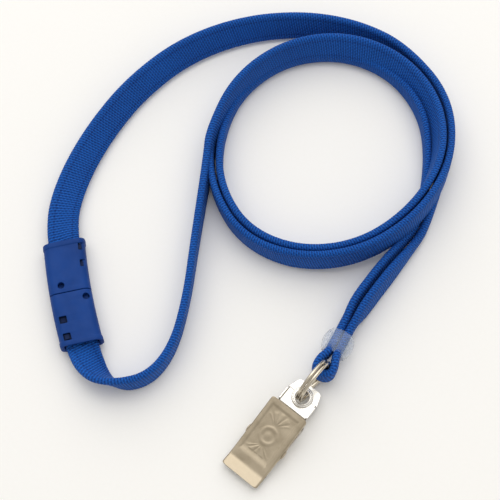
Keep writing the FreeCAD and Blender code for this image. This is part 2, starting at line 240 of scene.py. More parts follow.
# Clip: two plates of sheet from the jaws' lips, at JAW_END, to the tab's and the lever's ends.
SHEET = 0.5
JAW_END = -12.4
TAB_END = 20.9
TAB_HOLE_Y = 16.8
TAB_HOLE_RADIUS = 2.1
RIM_BEADS = 22
RIM_BEAD_PLACE = 2.68
EAR_PLACES = (5.15, 5.65)
LEVER_END = 10.8
LEVER_HALF_WIDTH = 6.25
PIN_Z = 3.0
SPRING_TURNS = 11.5
SPRING_RADIUS = 1.17
SPRING_HALF_LENGTH = 2.95
SPRING_WIRE = 0.46
# Heights of the plates' lower faces: (y, z) at each bend.
BACK_BENDS = [(-20, -2.3), (JAW_END, 0.8), (-8.9, 1.3), (-7.3, 0), (9.5, 0), (11.9, 2.3), (30, 2.3)]
LEVER_BENDS = [(-20, 3.5), (JAW_END, 2.35), (-8.9, 1.85), (10.5, 7.8), (14, 8.87)]

# Lever's pressed pattern: a sunken panel, a ringed boss, and a fan above and below the boss.
PANEL_DEPTH = 0.24
PATTERN_HEIGHT = 0.10
BOSS_HEIGHT = 0.09
BOSS_PLACE = (-0.2, 1.2)
FAN_STARTS = (4.2, -1.6)
FAN_REACH = 4.7
FAN_HALF_ANGLE = 62
FAN_BLADE_ANGLE = 31.0

# Colours, as linear red, green, blue and opacity.
STRAP_DARK = (0.001, 0.022, 0.15, 1)
STRAP_BRIGHT = (0.010, 0.130, 0.56, 1)
SHEEN_TINT = (0.35, 0.6, 1, 1)
CLASP_DARK = (0.003, 0.036, 0.19, 1)
CLASP_BRIGHT = (0.006, 0.056, 0.28, 1)
# Grips: made dark navy as painted shade, so the clasp's windows over them look shaded.
GRIP_SHADE_DARK = (0.001, 0.010, 0.05, 1)
GRIP_SHADE_BRIGHT = (0.002, 0.018, 0.09, 1)
# The bead's rim colour is painted: grey light bent and reflected at its steep sides.
BEAD_FACE = (0.58, 0.72, 0.95, 1)
BEAD_PAINTED_RIM = (0.64, 0.62, 0.57, 1)
PAPER_DARK = (0.945, 0.937, 0.915, 1)
PAPER_BRIGHT = (0.965, 0.958, 0.94, 1)


def strand_round_coil(first_angle, turns):
    """Rows of a strand that goes clockwise round the coil in equal steps."""
    rows = []
    for step, (offset, height, lean, width) in enumerate(turns):
        angle = math.radians(first_angle - COIL_STEP * step)
        x = COIL_CENTRE[0] + (COIL_RADII[0] + offset) * math.cos(angle) / LINE_INSIDE
        y = COIL_CENTRE[1] + (COIL_RADII[1] + offset) * math.sin(angle) / LINE_INSIDE
        rows.append((x, y, height, lean, width))
    return rows


def leg_rows(side):
    """Rows of one leg, from the coil to the bead. side is 1 for the right leg and -1 for the left."""
    return [(x + side * LEG_HALF_SPACING, y, z, lean, width) for x, y, z, lean, width in LEG_PAIR]


def bead_place(across, along):
    """Point across and along the bead's axis, measured from the middle of the bight."""
    turn = math.radians(BEAD_TURN)
    x = BIGHT_CENTRE[0] + across * math.cos(turn) - along * math.sin(turn)
    y = BIGHT_CENTRE[1] + across * math.sin(turn) + along * math.cos(turn)
    return x, y


def bead_rows(side):
    """Rows of one leg through the bead, towards the bight."""
    rows = []
    for along, width in BEAD_STRANDS:
        rows.append((*bead_place(side * STRAND_OFFSET, along), BEAD_RADIUS, 0, width))
    return rows


def bight_rows():
    """Rows from the bead round the ring's wire and back to the bead."""
    mirrored = [(-across, *rest) for across, *rest in reversed(BIGHT_PLACES[:-1])]
    rows = []
    for across, along, height, width in BIGHT_PLACES + mirrored:
        rows.append((*bead_place(across, along), height, 0, width))
    return rows + bead_rows(-1)[-1:]


def smooth_line(points, steps=24):
    """Points read from the smooth NURBS line that has these control points."""
    data = bpy.data.curves.new("line", "CURVE")
    data.dimensions = "3D"
    data.resolution_u = steps
    spline = data.splines.new("NURBS")
    spline.points.add(len(points) - 1)
    for control, place in zip(spline.points, points):
        control.co = (*place, 1.0)
    spline.order_u = 3
    spline.use_endpoint_u = True
    holder = bpy.data.objects.new("line", data)
    bpy.context.scene.collection.objects.link(holder)
    mesh = bpy.data.meshes.new_from_object(holder)
    line = np.array([vertex.co for vertex in mesh.vertices], float)
    bpy.data.objects.remove(holder)
    bpy.data.curves.remove(data)
    bpy.data.meshes.remove(mesh)
    return line


def read_strand(rows):
    """Even samples along a strand: places in mm, lean in radians, width in mm, distance along."""
    line = smooth_line([row[:3] for row in rows])
    shape = smooth_line([(row[3], row[4], 0.0) for row in rows])
    runs = np.linalg.norm(np.diff(line, axis=0), axis=1)
    keep = np.concatenate([[True], runs > 1e-6])
    line, shape = line[keep], shape[keep]
    along = np.concatenate([[0.0], np.cumsum(np.linalg.norm(np.diff(line, axis=0), axis=1))])
    count = int(round(along[-1] / STEP_ALONG))
    even = np.linspace(0.0, along[-1], count + 1)
    places = np.stack([np.interp(even, along, line[:, i]) for i in range(3)], axis=1)
    lean = np.radians(np.interp(even, along, shape[:, 0]))
    width = np.interp(even, along, shape[:, 1])
    return places, lean, width, even


def strap_section():
    """Outline of the flat strap and of a bunched one: (across the width, across the thickness)."""
    flat = []
    half = 0.5 - 0.5 * STRAP_THICK / STRAP_WIDTH
    radius = STRAP_THICK / 2
    for side in (1, -1):
        for i in range(FACE_STEPS):
            share = i / FACE_STEPS
            u = side * (half - 2 * half * share)
            crown = 1.0 + FACE_CROWN * math.cos(math.pi * (share - 0.5))
            flat.append((u * STRAP_WIDTH, side * radius * crown / (1.0 + FACE_CROWN / 2)))
        for i in range(EDGE_STEPS):
            angle = math.pi * i / EDGE_STEPS
            u = -side * (half * STRAP_WIDTH + radius * math.sin(angle))
            flat.append((u, side * radius * math.cos(angle)))
    flat = np.array(flat)
    angle = np.arctan2(flat[:, 1] / STRAP_THICK, flat[:, 0] / STRAP_WIDTH)
    oval = np.stack([np.cos(angle) * STRAP_WIDTH / 2, np.sin(angle) * radius], axis=1)
    return flat, oval


def frames_along(places, lean):
    """Directions at each sample: towards the strand's upper edge, and across its faces."""
    tangent = np.gradient(places, axis=0)
    tangent /= np.linalg.norm(tangent, axis=1)[:, None]
    up = np.array([0.0, 0.0, 1.0])
    left = np.cross(up, tangent)
    left /= np.linalg.norm(left, axis=1)[:, None]
    plumb = np.cross(tangent, left)
    upper = plumb * np.cos(lean)[:, None] + left * np.sin(lean)[:, None]
    across = left * np.cos(lean)[:, None] - plumb * np.sin(lean)[:, None]
    return upper, across


def strap_rings(places, lean, width, along, flat, oval):
    """Rings of points round the strap, with a shallow rib across it at every RIB_PITCH."""
    upper, across = frames_along(places, lean)
    bunch = np.clip((STRAP_WIDTH - width) / BUNCH_RANGE, 0.0, 1.0)[:, None]
    tall = flat[None, :, 0] * (1 - bunch) + oval[None, :, 0] * bunch
    tall = tall * (width / STRAP_WIDTH)[:, None]
    deep = flat[None, :, 1] * (1 - bunch) + oval[None, :, 1] * bunch
    deep = deep * (1.0 + BUNCH_SWELL * bunch)
    rib = RIB_HEIGHT * np.cos(2 * math.pi * along / RIB_PITCH)[:, None] * (1 - RIB_FADE * bunch)
    on_edge = np.abs(tall) > EDGE_SHARE * width[:, None]
    deep = deep + np.sign(deep) * rib * np.abs(deep) / (STRAP_THICK / 2)
    tall = tall + np.sign(tall) * rib * on_edge
    return places[:, None] + upper[:, None] * tall[..., None] + across[:, None] * deep[..., None]


def strap_piece(name, strand, first, last, material):
    """Piece of strap between two samples of a strand, and its middle line in metres."""
    places, lean, width, along = [part[first:last + 1] for part in strand]
    flat, oval = strap_section()
    rings = strap_rings(places, lean, width, along, flat, oval)
    vertices, faces = skin(rings)
    mesh = bpy.data.meshes.new(name)
    mesh.from_pydata((vertices * MM).tolist(), [], faces)
    mesh.polygons.foreach_set("use_smooth", [True] * len(mesh.polygons))
    girth = np.concatenate([[0.0], np.cumsum(np.linalg.norm(np.diff(flat, axis=0), axis=1))])
    girth = np.append(girth, girth[-1] + np.linalg.norm(flat[0] - flat[-1]))
    add_strap_map(mesh, along, girth, *rings.shape[:2])
    mesh.materials.append(material)
    piece = bpy.data.objects.new(name, mesh)
    bpy.context.scene.collection.objects.link(piece)
    return piece, places * MM


def add_strap_map(mesh, along, girth, rows, cols):
    """UV map in millimetres: U along the strap, V round it."""
    layer = mesh.uv_layers.new(name="weave")
    row = np.repeat(np.arange(rows - 1), cols)
    col = np.tile(np.arange(cols), rows - 1)
    u = np.stack([along[row], along[row], along[row + 1], along[row + 1]], axis=1)
    v = np.stack([girth[col], girth[col + 1], girth[col + 1], girth[col]], axis=1)
    sides = np.stack([u.ravel(), v.ravel()], axis=1)
    caps = np.zeros((2 * cols, 2))
    layer.data.foreach_set("uv", np.concatenate([sides, caps]).ravel())


def skin(rings, looped=False):
    """Points and faces over equal rings of points. A looped skin has no ends; any other is capped."""
    rings = np.array(rings, float)
    rows, cols = rings.shape[:2]
    faces = []
    for row in range(rows if looped else rows - 1):
        base = row * cols
        after = (row + 1) % rows * cols
        for col in range(cols):
            following = (col + 1) % cols
            faces.append((base + col, base + following, after + following, after + col))
    if not looped:
        faces.append(tuple(range(cols - 1, -1, -1)))
        faces.append(tuple((rows - 1) * cols + col for col in range(cols)))
    return rings.reshape(-1, 3), faces


def build(name, shapes, material):
    """One object from several sets of points and faces in millimetres."""
    points = []
    faces = []
    for shape_points, shape_faces in shapes:
        faces += [tuple(len(points) + corner for corner in face) for face in shape_faces]
        points += (np.array(shape_points) * MM).tolist()
    mesh = bpy.data.meshes.new(name)
    mesh.from_pydata(points, [], faces)
    work = bmesh.new()
    work.from_mesh(mesh)
    bmesh.ops.recalc_face_normals(work, faces=work.faces)
    work.to_mesh(mesh)
    work.free()
    mesh.materials.append(material)
    piece = bpy.data.objects.new(name, mesh)
    bpy.context.scene.collection.objects.link(piece)
    soften(piece)
    return piece


def soften(piece, sharp_angle=38.0):
    """Shade a piece smooth, except at its sharp edges."""
    piece.data.polygons.foreach_set("use_smooth", [True] * len(piece.data.polygons))
    piece.data.set_sharp_from_angle(angle=math.radians(sharp_angle))


def settle(piece):
    """Turn a piece's modifiers into its mesh."""
    seen = piece.evaluated_get(bpy.context.evaluated_depsgraph_get())
    mesh = bpy.data.meshes.new_from_object(seen)
    piece.modifiers.clear()
    piece.data = mesh
    soften(piece)


def carve(piece, cutters, edge=0.0):
    """Cut shapes out of a piece, and round its sharp edges."""
    for cutter in cutters:
        tool = build("cutter", [cutter], piece.data.materials[0])
        tool.hide_render = True
        cut = piece.modifiers.new("cut", "BOOLEAN")
        cut.object = tool
        cut.solver = "EXACT"
        settle(piece)
        bpy.data.objects.remove(tool)
    if edge:
        bevel = piece.modifiers.new("edges", "BEVEL")
        bevel.width = edge * MM
        bevel.segments = 2
        bevel.limit_method = "ANGLE"
        bevel.angle_limit = math.radians(50)
        settle(piece)


def circle(centre, u, v, radius, steps):
    """Ring of points round a centre in the plane of u and v."""
    turn = np.arange(steps) * 2 * math.pi / steps
    spokes = np.outer(np.cos(turn), u) + np.outer(np.sin(turn), v)
    return np.array(centre, float) + spokes * radius


def lathe(profile, origin, axis, steps=48, looped=False):
    """Turned shape from (distance along the axis, radius) pairs."""
    axis = Vector(axis).normalized()
    u = axis.orthogonal().normalized()
    v = axis.cross(u)
    origin = np.array(origin, float)
    rings = [circle(origin + np.array(axis) * along, u, v, radius, steps) for along, radius in profile]
    return skin(rings, looped)


def wire(line, radius, steps=14):
    """Round wire with domed ends along a line of points."""
    line = np.array(line, float)
    tangents = np.gradient(line, axis=0)
    tangents /= np.linalg.norm(tangents, axis=1)[:, None]
    side = np.array(Vector(tangents[0]).orthogonal().normalized())
    rings = []
    for place, tangent in zip(line, tangents):
        side = side - tangent * (side @ tangent)
        side /= np.linalg.norm(side)
        rings.append(circle(place, side, np.cross(tangent, side), radius, steps))
    ends = []
    for end, outward in ((0, -tangents[0]), (-1, tangents[-1])):
        ring, place = rings[end], line[end]
        dome = [(0.45, 0.45), (0.8, 0.25)]
        ends.append([place + (ring - place) * share + outward * radius * rise for share, rise in dome])
    return skin(ends[0] + rings + ends[1][::-1])


def rounded_rectangle(width, height, corner, steps=6):
    """Outline of (across, up) points, anticlockwise, about its middle."""
    outline = []
    for quarter, (sx, sz) in enumerate(((1, -1), (1, 1), (-1, 1), (-1, -1))):
        for i in range(steps + 1):
            angle = math.radians(90 * (quarter - 1 + i / steps))
            across = sx * (width / 2 - corner) + corner * math.cos(angle)
            up = sz * (height / 2 - corner) + corner * math.sin(angle)
            outline.append((across, up))
    return outline


def block(low, high, corner=0.3):
    """Upright block between two opposite corners, with rounded upright edges."""
    middle_x, middle_y = (low[0] + high[0]) / 2, (low[1] + high[1]) / 2
    outline = rounded_rectangle(high[0] - low[0], high[1] - low[1], corner, 3)
    return skin([[(middle_x + x, middle_y + y, z) for x, y in outline] for z in (low[2], high[2])])


def slab(outline, x0, x1):
    """Plate of (y, z) outline between two places across."""
    return skin([[(x, y, z) for y, z in outline] for x in (x0, x1)])


def clasp_place(shape, lower):
    """Put a shape made along +Y from the joint where the upper or the lower half is."""
    points, faces = shape
    turn = math.radians(CLASP_ANGLE + (180 if lower else 0))
    across = points[:, 0] + (-1 if lower else 1) * CLASP_BOW * points[:, 1] ** 2
    x = CLASP_JOINT[0] + across * math.cos(turn) - points[:, 1] * math.sin(turn)
    y = CLASP_JOINT[1] + across * math.sin(turn) + points[:, 1] * math.cos(turn)
    return np.stack([x, y, points[:, 2]], axis=1), faces


def clasp_shell():
    """Outside of one half, and its strap pocket, as one skin that folds in at the mouth."""
    end = CLASP_LENGTH
    collar = end - 1.5
    # Each station is (y, width, height, corner radius) of the outside, and then of the pocket.
    outside = [(0.1, 12.2, 6.0, 2.2), (0.2, 12.5, 6.3, 2.3)]
    outside += [(y, 12.5, 6.3, 2.35) for y in np.linspace(1.5, collar - 0.6, 8)]
    outside += [(collar - 0.1, 12.55, 6.35, 2.4), (collar, 12.8, 6.6, 2.4)]
    outside += [(collar + 0.12, 12.9, 6.7, 2.5), (end - 0.2, 12.9, 6.7, 2.5)]
    outside += [(end - 0.05, 12.75, 6.55, 2.4), (end, 12.4, 6.2, 2.4)]
    pocket = [(end, 10.9, 4.5, 1.0), (end - 0.2, 10.4, 4.0, 0.9)]
    pocket += [(end - 0.8, 10.1, 3.85, 0.6), (6.8, 10.1, 3.85, 0.6)]
    pocket_middles = [3.95, 4.0, 4.025, 4.025]
    rings = []
    for station, middle in zip(outside + pocket, [CLASP_MIDDLE_Z] * len(outside) + pocket_middles):
        y, width, height, corner = station
        outline = rounded_rectangle(width, height, corner, 8)
        rings.append([(across, y, middle + up) for across, up in outline])
    return skin(rings)


def clasp_prong():
    """Flat prong with a rounded tip and a low catch on top."""
    rings = []
    for y, share in ((0.6, 1.0), (-4.6, 1.0), (-5.4, 0.9), (-5.9, 0.66)):
        outline = rounded_rectangle(4.2 * share, 2.4 * share, 0.4 * share, 3)
        rings.append([(PRONG_OFFSET + across, y, CLASP_MIDDLE_Z + up) for across, up in outline])
    place = (PRONG_OFFSET, -CATCH_PLACE, CLASP_MIDDLE_Z)
    catch = lathe([(0.9, 0.95), (1.28, 0.95), (1.32, 0.8)], place, (0, 0, 1), 24)
    return [skin(rings), catch]


def clasp_half(lower, material):
    """One half of the clasp: shell, prong, socket, catch hole and windows."""
    word = "lower" if lower else "upper"
    half = build("clasp_" + word, [clasp_place(clasp_shell(), lower)], material)
    hole_shift, window_shift, _ = LOWER_SHIFTS if lower else UPPER_SHIFTS
    socket = block((-PRONG_OFFSET - 2.3, -1.0, 2.0), (-PRONG_OFFSET + 2.3, 6.2, 4.8), 0.2)
    hole_place = (hole_shift - PRONG_OFFSET, CATCH_PLACE, CLASP_MIDDLE_Z)
    hole = lathe([(0, CATCH_HOLE_RADIUS), (5.0, CATCH_HOLE_RADIUS)], hole_place, (0, 0, 1), 28)
    cutters = [socket, hole]
    for place in WINDOW_PLACES:
        middle = WINDOW_OFFSET + window_shift
        low = (middle - WINDOW_HALF, place - WINDOW_HALF, 5.5)
        cutters.append(block(low, (middle + WINDOW_HALF, place + WINDOW_HALF, 8.0), 0.3))
    carve(half, [clasp_place(cutter, lower) for cutter in cutters], 0.14)
    prong = build("clasp_prong", [clasp_place(shape, lower) for shape in clasp_prong()], material)
    return joined(half, prong)


def joined(first, second):
    """One piece from two that have the same material."""
    work = bmesh.new()
    work.from_mesh(first.data)
    work.from_mesh(second.data)
    work.to_mesh(first.data)
    work.free()
    bpy.data.objects.remove(second)
    soften(first)
    return first


def strap_grip(lower, material):
    """Toothed plate over the strap's end, with a lug under each window."""
    start, end = GRIP_SPAN
    top, root, tip = 5.4, 4.95, 4.45
    outline = [(start, top), (start, root)]
    for tooth in range(int((end - start) / TOOTH_PITCH)):
        y = start + 0.1 + TOOTH_PITCH * tooth
        outline += [(y, root), (y + 0.5, tip), (y + 0.58, tip), (y + 0.8, root)]
    outline += [(end, root), (end, top)]
    shapes = [slab(outline, -GRIP_HALF_WIDTH, GRIP_HALF_WIDTH)]
    middle = WINDOW_OFFSET + (LOWER_SHIFTS if lower else UPPER_SHIFTS)[2]
    for place, lug_top in zip(WINDOW_PLACES, LUG_TOPS):
        low = (middle - 0.6, place - 0.85, 5.2)
        shapes.append(block(low, (middle + 0.7, place + 0.6, lug_top), 0.2))
    word = "lower" if lower else "upper"
    return build("grip_" + word, [clasp_place(shape, lower) for shape in shapes], material)


def bead_piece(material):
    """Moulded barrel bead: swollen sides, rolled ends and a fine parting line."""
    middle = BEAD_LENGTH / 2
    outside = []
    for along in np.linspace(-1, 1, 33):
        swell = BEAD_RADIUS - 0.85 * along ** 2 - 0.45 * along ** 8
        parting_line = 0.05 * math.exp(-(along / 0.03) ** 2)
        outside.append((middle + along * (middle - 0.25), swell + parting_line))
    inner, outer = BEAD_MOUTH_RADII
    near_mouth = [(0.5, BEAD_BORE_RADIUS), (0.15, inner), (0.05, outer)]
    far_mouth = [(BEAD_LENGTH - along, radius) for along, radius in reversed(near_mouth)]
    profile = outside + far_mouth + [(middle, BEAD_BORE_RADIUS)] + near_mouth
    x, y = bead_place(0, BEAD_START)
    turn = math.radians(BEAD_TURN)
    axis = (-math.sin(turn), math.cos(turn), 0)
    shape = lathe(profile, (x, y, BEAD_RADIUS), axis, 72, looped=True)
    return build("bead_look", [shape], material)


def split_ring_piece(material):
    """Two turns of wire side by side that cross over at the foot of the ring."""
    line = []
    for i in range(RING_STEPS + 1):
        turn = 2 * i / RING_STEPS
        across = RING_SIDE * (2 * smooth_step((turn - 0.93) / 0.14) - 1)
        angle = math.radians(-90 + RING_END_ANGLE + (720 - 2 * RING_END_ANGLE) * i / RING_STEPS)
        y = RING_CENTRE[1] + RING_RADIUS * math.cos(angle)
        z = RING_CENTRE[2] + RING_RADIUS * math.sin(angle)
        line.append((across, y, z))
    return build("split_ring_look", [wire(line, RING_WIRE / 2, 18)], material)


def plate_line(stations, y):
    """Height of a plate's lower face at y, with its bends eased over a short length."""
    ys, zs = zip(*stations)
    return float(np.mean(np.interp(y + np.linspace(-0.5, 0.5, 9), ys, zs)))


def corner_inset(from_end, radius):
    """How far a rounded corner stands in from the side, at a distance from the plate's end."""
    return radius * (1 - math.sqrt(1 - (1 - min(from_end / radius, 1)) ** 2))


def clip_back_piece(material):
    """Back plate with its jaw, the tab with upturned sides, the rimmed hole and the pin's ears."""
    rings = []
    for y in np.concatenate([np.linspace(JAW_END, 9.4, 60), np.linspace(9.55, TAB_END, 68)]):
        half = float(np.interp(y, [9.9, 11.5, 17.1, TAB_END], [6.05, 5.2, 5.2, 3.9]))
        half -= corner_inset(min(y - JAW_END, TAB_END - y), 0.8)
        side = float(np.interp(y, [11.8, 12.4, 16.4, 17.1], [0, 1, 1, 0])) * 1.2
        floor = max(plate_line(BACK_BENDS, y), 0.0)
        top = floor + SHEET
        inner = half - SHEET
        ring = [(-half, floor + 0.15), (-half + 0.15, floor)]
        ring += [(half - 0.15, floor), (half, floor + 0.15)]
        ring += [(half, top + side - 0.15), (half - 0.12, top + side), (inner + 0.1, top + side)]
        ring += [(inner, top + side * 0.9), (inner - 0.15, top), (-inner + 0.15, top)]
        ring += [(-inner, top + side * 0.9), (-inner - 0.1, top + side), (-half + 0.12, top + side)]
        ring += [(-half, top + side - 0.15)]
        rings.append([(x, y, z) for x, z in ring])
    back = build("clip_back_look", [skin(rings)], material)
    hole = [(0, TAB_HOLE_RADIUS), (6, TAB_HOLE_RADIUS)]
    carve(back, [lathe(hole, (0, TAB_HOLE_Y, 0), (0, 0, 1), 48)])
    return joined(back, build("rim", tab_rim() + pin_ears(), material))


def tab_rim():
    """Rolled rim of the tab's hole, with a ring of small beads on it."""
    profile = [(2.35, 2.1), (2.95, 2.1), (3.1, 2.25), (3.1, 2.6), (3.0, 2.75), (3.0, 2.95)]
    profile += [(3.08, 3.05), (3.0, 3.25), (2.7, 3.3), (2.5, 3.2)]
    shapes = [lathe(profile, (0, TAB_HOLE_Y, 0), (0, 0, 1), 60, looped=True)]
    for i in range(RIM_BEADS):
        angle = 2 * math.pi * i / RIM_BEADS
        x = RIM_BEAD_PLACE * math.cos(angle)
        y = TAB_HOLE_Y + RIM_BEAD_PLACE * math.sin(angle)
        shapes.append(lathe([(-0.1, 0.2), (0.07, 0.19), (0.13, 0.1)], (x, y, 3.0), (0, 0, 1), 10))
    return shapes


def pin_ears():
    """Two upright ears of the back plate that hold the pin."""
    ear = [(-2.2, 0.3), (2.2, 0.3), (1.9, 2.2), (1.45, 3.2), (0.9, 4.1), (0, 4.4), (-0.9, 4.1)]
    ear += [(-1.45, 3.2), (-1.9, 2.2)]
    return [slab(ear, side * EAR_PLACES[0], side * EAR_PLACES[1]) for side in (1, -1)]


def relief(x, y):
    """Height of the lever's pressed pattern: a sunken panel with a ringed boss between two fans."""
    inside = min(x + 5.1, 4.7 - x, (y + 6.6) / 3.0, 9.4 - y)
    wall = 0.7
    height = -PANEL_DEPTH * smooth_step(inside / wall)
    if inside < wall:
        return height
    across = x - BOSS_PLACE[0]
    distance = math.hypot(across, y - BOSS_PLACE[1])
    height += PATTERN_HEIGHT * bump_profile((distance - 2.3) / 0.8)
    height += BOSS_HEIGHT * bump_profile(distance / 1.4)
    for up in (y - FAN_STARTS[0], FAN_STARTS[1] - y):
        reach = math.hypot(across, up)
        angle = math.degrees(math.atan2(across, up))
        if up > 0.3 and reach < FAN_REACH and abs(angle) < FAN_HALF_ANGLE:
            blade = abs((angle / FAN_BLADE_ANGLE + 0.5) % 1 - 0.5) * 2
            from_edge = min(FAN_REACH - reach, (FAN_HALF_ANGLE - abs(angle)) / 10.0, up - 0.3)
            height += PATTERN_HEIGHT * smooth_step(from_edge / 1.1) * smooth_step((1 - blade) * 1.4)
    return height


def smooth_step(t):
    """Eased rise from 0 to 1 as t goes from 0 to 1."""
    t = min(max(t, 0.0), 1.0)
    return t * t * (3 - 2 * t)


def bump_profile(t):
    """Rounded ridge of height 1 for t from -1 to 1."""
    return (1 - t * t) ** 2 if abs(t) < 1 else 0.0


def clip_lever_piece(material):
    """Lever pressed from sheet: upper jaw with a kinked lip, skirts with ears, and a pressed front."""
    skirt_ys = [JAW_END, -7.7, -6.5, -2.9, -1.7, 1.7, 3.0, 10.2, 10.7, LEVER_END]
    rings = []
    for y in np.linspace(JAW_END, LEVER_END, 150):
        lower = plate_line(LEVER_BENDS, y)
        top = lower + SHEET
        ear = top - 1.25
        skirt_depths = [0.5, 0.5, 1.7, 1.7, ear, ear, 1.7, 1.7, 0.6, 0.5]
        foot = top - float(np.interp(y, skirt_ys, skirt_depths))
        half = LEVER_HALF_WIDTH - corner_inset(min(y - JAW_END, LEVER_END - y), 0.7)
        ring = [(-half + 0.1, foot), (-half, foot + 0.12), (-half, top - 0.55)]
        ring += [(-half + 0.1, top - 0.22), (-half + 0.28, top - 0.06)]
        for x in np.linspace(-half + 0.5, half - 0.5, 84):
            ring.append((x, top + relief(x, y)))
        ring += [(half - 0.28, top - 0.06), (half - 0.1, top - 0.22), (half, top - 0.55)]
        ring += [(half, foot + 0.12), (half - 0.1, foot), (half - 0.45, foot)]
        ring += [(half - SHEET, foot + 0.08), (half - SHEET - 0.3, lower), (-half + SHEET + 0.3, lower)]
        ring += [(-half + SHEET, foot + 0.08), (-half + 0.45, foot)]
        rings.append([(x, y, z) for x, z in ring])
    return build("clip_lever_look", [skin(rings)], material)


def clip_pin_piece(material):
    """Hinge pin with domed heads."""
    profile = [(-6.75, 0.5), (-6.7, 0.9), (-6.6, 1.2), (-6.4, 1.3), (-6.35, 1.3), (-6.35, 0.8)]
    profile += [(-along, radius) for along, radius in reversed(profile)]
    return build("clip_pin_look", [lathe(profile, (0, 0, PIN_Z), (1, 0, 0), 32)], material)


def clip_spring_piece(material):
    """Wound torsion spring with one leg on the back plate and one under the lever."""
    line = [(-2.9, 7.4, 0.76), (-2.9, 4.0, 1.2), (-2.92, 1.0, PIN_Z - 1.19)]
    steps = int(SPRING_TURNS * 24)
    for i in range(steps + 1):
        share = i / steps
        angle = -math.pi / 2 - 2 * math.pi * SPRING_TURNS * share
        x = SPRING_HALF_LENGTH * (2 * share - 1)
        line.append((x, SPRING_RADIUS * math.cos(angle), PIN_Z + SPRING_RADIUS * math.sin(angle)))
    line += [(2.92, 1.0, 4.35), (2.9, 3.6, 5.2), (2.9, 6.3, 6.1)]
    return build("clip_spring_look", [wire(line, SPRING_WIRE / 2, 10)], material)


class Nodes:
    """Short way to build a material's node tree."""

    def __init__(self, name):
        self.material = bpy.data.materials.new(name)
        self.material.use_nodes = True
        self.tree = self.material.node_tree
        self.shader = self.tree.nodes["Principled BSDF"]

    def add(self, kind, inputs=(), **settings):
        node = self.tree.nodes.new("ShaderNode" + kind)
        for key, value in settings.items():
            setattr(node, key, value)
        for key, value in dict(inputs).items():
            if isinstance(value, bpy.types.NodeSocket):
                self.tree.links.new(value, node.inputs[key])
            else:
                node.inputs[key].default_value = value
        return node

    def math(self, operation, *values):
        node = self.add("Math", dict(enumerate(values)), operation=operation)
        return node.outputs[0]

    def ramp(self, factor, low, high):
        """Value that goes from 0 to 1 as factor goes from low to high."""
        node = self.add("MapRange", {0: factor, 1: low, 2: high, 3: 0.0, 4: 1.0})
        return node.outputs[0]

    def mix(self, factor, first, second):
        node = self.add("Mix", {0: factor, 6: first, 7: second}, data_type="RGBA")
        return node.outputs[2]

    def noise(self, vector, scale, detail=2.0, roughness=0.5):
        inputs = {"Vector": vector, "Scale": scale, "Detail": detail, "Roughness": roughness}
        return self.add("TexNoise", inputs).outputs["Fac"]

    def bump(self, height, distance, strength=1.0):
        inputs = {"Height": height, "Distance": distance, "Strength": strength}
        return self.add("Bump", inputs).outputs[0]

    def link(self, socket, name):
        self.tree.links.new(socket, self.shader.inputs[name])

    def set(self, **values):
        for key, value in values.items():
            self.shader.inputs[key.replace("_", " ")].default_value = value


def strap_material():
    """Royal blue woven tape: slanting cross ribs cut by threads along it, worn patches, and painted
    shade along its grooves.
    """
    n = Nodes("strap weave")
    uv = n.add("UVMap", uv_map="weave").outputs[0]
    split = n.add("SeparateXYZ", {0: uv})
    along, round_it = split.outputs[0], split.outputs[1]
    place = n.add("TexCoord").outputs["Object"]
    wander = n.math("MULTIPLY", n.noise(place, 260.0, 2.0), 0.5)
    slant = n.math("ADD", n.math("ADD", along, n.math("MULTIPLY", round_it, 0.18)), wander)
    rib = n.math("SINE", n.math("MULTIPLY", slant, 2 * math.pi / RIB_PITCH))
    half_rib = n.math("SINE", n.math("MULTIPLY", slant, math.pi / RIB_PITCH))
    thread = n.math("SINE", n.math("MULTIPLY", round_it, 2 * math.pi / THREAD_PITCH))
    plait = n.math("MULTIPLY", n.math("MULTIPLY", half_rib, thread), 0.5)
    cross = n.math("ADD", n.math("MULTIPLY", rib, 0.75), plait)
    fibre = n.noise(place, 3200.0, 2.0)
    blotch = n.noise(place, 70.0, 3.0)
    weave = n.math("ADD", n.math("MULTIPLY", cross, 1.3), n.math("MULTIPLY", fibre, 0.8))
    # Painted shade: the colour darkens along the strap's grooves, SEAM_PLACE from its edges.
    from_edge = n.math("PINGPONG", n.math("ADD", round_it, SEAM_SHIFT), HALF_GIRTH / 2)
    seam = n.math("ABSOLUTE", n.math("SUBTRACT", from_edge, SEAM_PLACE))
    painted_groove_shade = n.math("MULTIPLY", n.math("SUBTRACT", 1.0, n.ramp(seam, 0.0, 0.35)), 0.9)
    shade = n.ramp(n.math("SUBTRACT", n.math("ADD", weave, blotch), painted_groove_shade), -0.9, 2.4)
    n.link(n.mix(shade, STRAP_DARK, STRAP_BRIGHT), "Base Color")
    n.link(n.bump(n.math("ADD", cross, fibre), 0.00013, 1.0), "Normal")
    n.set(Roughness=0.75, Specular_IOR_Level=0.2)
    n.set(Sheen_Weight=0.08, Sheen_Roughness=0.4, Sheen_Tint=SHEEN_TINT)
    return n.material


def clasp_material(name, dark, bright):
    """Satin moulded plastic, a little cloudy, with a fine moulded grain."""
    n = Nodes(name)
    place = n.add("TexCoord").outputs["Object"]
    cloud = n.noise(place, 110.0, 3.0)
    grain = n.noise(place, 5200.0, 2.0)
    flow = n.noise(place, 420.0, 3.0)
    n.link(n.mix(n.ramp(cloud, 0.3, 0.75), dark, bright), "Base Color")
    n.link(n.ramp(flow, -1.1, 1.7), "Roughness")
    n.link(n.bump(n.math("ADD", grain, flow), 0.00002, 0.5), "Normal")
    n.set(Specular_IOR_Level=0.18)
    return n.material


